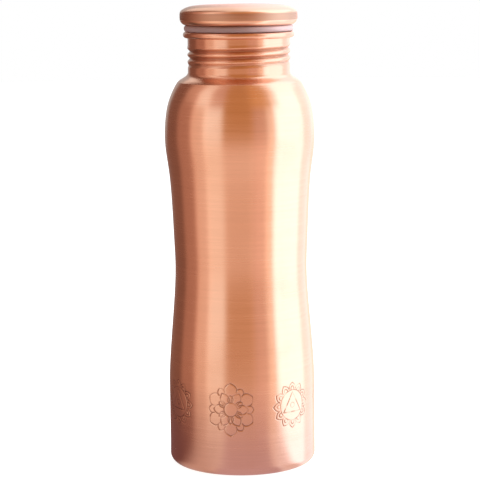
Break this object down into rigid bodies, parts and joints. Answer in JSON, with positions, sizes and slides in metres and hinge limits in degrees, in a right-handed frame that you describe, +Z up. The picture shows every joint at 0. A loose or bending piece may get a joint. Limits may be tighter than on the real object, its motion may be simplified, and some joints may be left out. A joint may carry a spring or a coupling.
{
  "type": "copper water bottle",
  "caption": "Waisted copper water bottle with a rolled neck thread, a screw-in cap with a knurled rim and a silicone sealing washer.",
  "frame": {"origin": "centre of the foot, on the plane that the bottle stands on", "axes": "+Z up along the bottle's axis, from the foot to the cap; -Y is the side with an engraved rosette nearest the middle"},
  "size_m": [0.0764, 0.0764, 0.235],
  "materials": {
    "body_copper": null,
    "cap_copper": "copper, satin dome and fine diamond knurl round the rim",
    "plug_copper": "copper, spun, slightly duller than the outside",
    "silicone": "milky translucent silicone"
  },
  "bodies": {
    "bottle": {"body_shell": "body_copper", "base_disc": "body_copper"},
    "washer": {"cap_gasket": "silicone"},
    "cap": {"cap_cover": "cap_copper", "cap_plug": "plug_copper"}
  },
  "joints": [
    {"name": "cap_rise", "type": "slide", "parent": "bottle", "child": "washer", "axis": [0, 0, 1], "range_m": [0, 0.0193]},
    {"name": "cap_unscrew", "type": "hinge", "parent": "washer", "child": "cap", "pos_m": [0, 0, 0.2247], "axis": [0, 0, 1], "range_deg": [0, 1980]}
  ],
  "couplings": [
    {"joint": "cap_rise", "follows": "cap_unscrew", "m_per_rad": 0.00055704}
  ]
}
